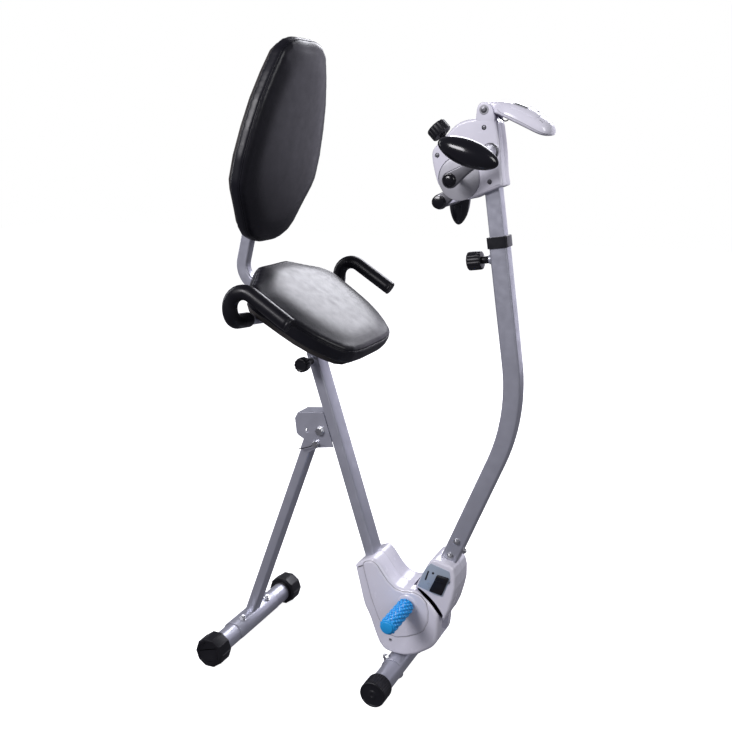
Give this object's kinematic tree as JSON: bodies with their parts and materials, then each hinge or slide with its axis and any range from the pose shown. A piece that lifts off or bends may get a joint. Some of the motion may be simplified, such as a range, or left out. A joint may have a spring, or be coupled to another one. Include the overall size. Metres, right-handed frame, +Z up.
{
  "type": "exercise bike",
  "caption": "Folding seated arm-crank exercise bike with padded seat and backrest, seat handles, crank head with console on a telescoping mast, and foot rollers; shown folded.",
  "frame": {"origin": "centre of the bike's bounding box on the floor, folded and standing on its front wheels and rear caps", "axes": "+X from the seat towards the crank head, +Y to the user's left, +Z up"},
  "size_m": [0.7827, 0.553, 1.4683],
  "materials": {
    "silver_paint": "satin powder coat",
    "white_plastic": "gloss",
    "blue_plastic": "soft moulded foam plastic",
    "zinc": "zinc plated",
    "machine_steel": "ground",
    "silver_metal": "satin",
    "black_plastic": "moulded",
    "gloss_black_plastic": "gloss",
    "black_vinyl": "glossy vinyl over foam",
    "board": "plywood",
    "black_foam": "foam rubber",
    "display": "clear over grey display",
    "button_grey": "moulded"
  },
  "bodies": {
    "frame": {"main_tube": "silver_paint", "fold_bracket": "silver_paint", "front_foot_tube": "silver_paint", "base_bracket": "silver_paint", "base_shell_right": "white_plastic", "base_shell_left": "white_plastic", "foot_roller_axle": "zinc", "pivot_bolts": "zinc", "base_fasteners": "zinc"},
    "front_wheel_right": {"front_wheel_cap_right": "black_plastic"},
    "front_wheel_left": {"front_wheel_cap_left": "black_plastic"},
    "foot_roller_right": {"foot_roller_right": "blue_plastic"},
    "foot_roller_left": {"foot_roller_left": "blue_plastic"},
    "rear_leg": {"leg_tube": "silver_paint", "leg_head": "silver_paint", "rear_foot_tube": "silver_paint", "leg_fasteners": "zinc"},
    "rear_cap_right": {"rear_cap_right": "black_plastic"},
    "rear_cap_left": {"rear_cap_left": "black_plastic"},
    "lock_pin": {"lock_pin": "zinc", "pin_pull_wire": "zinc"},
    "mast": {"mast_tube": "silver_paint", "mast_foot_bracket": "silver_paint", "mast_cover_right": "white_plastic", "mast_cover_left": "white_plastic", "mast_fasteners": "zinc", "mast_sleeve": "black_plastic"},
    "latch": {"latch_slider": "black_plastic"},
    "mast_knob": {"mast_knob": "black_plastic"},
    "upper_mast": {"upper_mast_tube": "silver_paint", "head_shell_right": "white_plastic", "head_shell_left": "white_plastic", "head_fasteners": "zinc", "crank_bearings": "machine_steel", "brake_band": "machine_steel", "sensor_wire": "black_plastic"},
    "tension_knob": {"tension_knob": "black_plastic"},
    "crank": {"crank_axle": "zinc", "crank_wheel": "machine_steel", "crank_arms": "silver_metal", "crank_caps": "black_plastic", "handle_spindles": "zinc"},
    "handle_right": {"handle_neck_right": "silver_metal", "hand_grip_right": "gloss_black_plastic"},
    "handle_left": {"handle_neck_left": "silver_metal", "hand_grip_left": "gloss_black_plastic"},
    "console": {"console_body": "white_plastic", "console_window": "display"},
    "button": {"console_button": "button_grey"},
    "seat_unit": {"seat_post": "silver_paint", "cushion_boards": "board", "seat_cushion": "black_vinyl", "back_bar": "silver_paint", "back_cushion": "black_vinyl", "handlebar_tube": "silver_paint", "foam_grips": "black_foam", "handlebar_caps": "black_plastic", "seat_fasteners": "zinc"},
    "seat_knob": {"seat_knob": "black_plastic"}
  },
  "joints": [
    {"name": "front_wheel_right_spin", "type": "hinge", "parent": "frame", "child": "front_wheel_right", "pos_m": [0.077, -0.166, 0.031], "axis": [0, 1, 0], "continuous": true},
    {"name": "front_wheel_left_spin", "type": "hinge", "parent": "frame", "child": "front_wheel_left", "pos_m": [0.077, 0.166, 0.031], "axis": [0, 1, 0], "continuous": true},
    {"name": "foot_roller_right_spin", "type": "hinge", "parent": "frame", "child": "foot_roller_right", "pos_m": [0.106, -0.116, 0.199], "axis": [0, 1, 0], "continuous": true},
    {"name": "foot_roller_left_spin", "type": "hinge", "parent": "frame", "child": "foot_roller_left", "pos_m": [0.106, 0.116, 0.199], "axis": [0, 1, 0], "continuous": true},
    {"name": "leg_fold", "type": "hinge", "parent": "frame", "child": "rear_leg", "pos_m": [-0.133, 0, 0.583], "axis": [0, 1, 0], "range_deg": [0, 68]},
    {"name": "rear_cap_right_turn", "type": "hinge", "parent": "rear_leg", "child": "rear_cap_right", "pos_m": [-0.355, -0.18, 0.035], "axis": [0, 1, 0], "range_deg": [-180, 180]},
    {"name": "rear_cap_left_turn", "type": "hinge", "parent": "rear_leg", "child": "rear_cap_left", "pos_m": [-0.355, 0.18, 0.035], "axis": [0, 1, 0], "range_deg": [-180, 180]},
    {"name": "lock_pin_pull", "type": "slide", "parent": "frame", "child": "lock_pin", "axis": [0, -1, 0], "range_m": [0, 0.06]},
    {"name": "mast_swing", "type": "hinge", "parent": "frame", "child": "mast", "pos_m": [0.071, 0, 0.118], "axis": [0, 1, 0], "range_deg": [0, 36]},
    {"name": "latch_slide", "type": "slide", "parent": "mast", "child": "latch", "axis": [0.3778, 0, 0.9259], "range_m": [0, 0.012]},
    {"name": "mast_knob_turn", "type": "hinge", "parent": "mast", "child": "mast_knob", "pos_m": [0.24709, 0, 1.00706], "axis": [-0.9898, 0, -0.1426], "range_deg": [0, 720]},
    {"name": "upper_mast_slide", "type": "slide", "parent": "mast", "child": "upper_mast", "axis": [-0.1426, 0, 0.9898], "range_m": [-0.035, 0.1]},
    {"name": "tension_knob_turn", "type": "hinge", "parent": "upper_mast", "child": "tension_knob", "pos_m": [0.14368, 0, 1.27512], "axis": [-0.6845, 0, 0.729], "range_deg": [-720, 720]},
    {"name": "crank_spin", "type": "hinge", "parent": "upper_mast", "child": "crank", "pos_m": [0.201, 0, 1.177], "axis": [0, 1, 0], "continuous": true},
    {"name": "handle_right_spin", "type": "hinge", "parent": "crank", "child": "handle_right", "pos_m": [0.28341, -0.15, 1.23364], "axis": [0, 1, 0], "continuous": true},
    {"name": "handle_left_spin", "type": "hinge", "parent": "crank", "child": "handle_left", "pos_m": [0.11859, 0.15, 1.12036], "axis": [0, 1, 0], "continuous": true},
    {"name": "console_tilt", "type": "hinge", "parent": "upper_mast", "child": "console", "pos_m": [0.251, 0, 1.315], "axis": [0, 1, 0], "range_deg": [-70, 3], "deforming": ["sensor_wire"]},
    {"name": "button_press", "type": "slide", "parent": "console", "child": "button", "axis": [-0.4226, 0, -0.9063], "range_m": [0, 0.0012], "stiffness_N_per_m": 600},
    {"name": "seat_slide", "type": "slide", "parent": "frame", "child": "seat_unit", "axis": [-0.3007, 0, 0.9537], "range_m": [0, 0.12]},
    {"name": "seat_knob_turn", "type": "hinge", "parent": "frame", "child": "seat_knob", "pos_m": [-0.15094, -0.074, 0.75392], "axis": [0, -1, 0], "range_deg": [0, 720]}
  ]
}
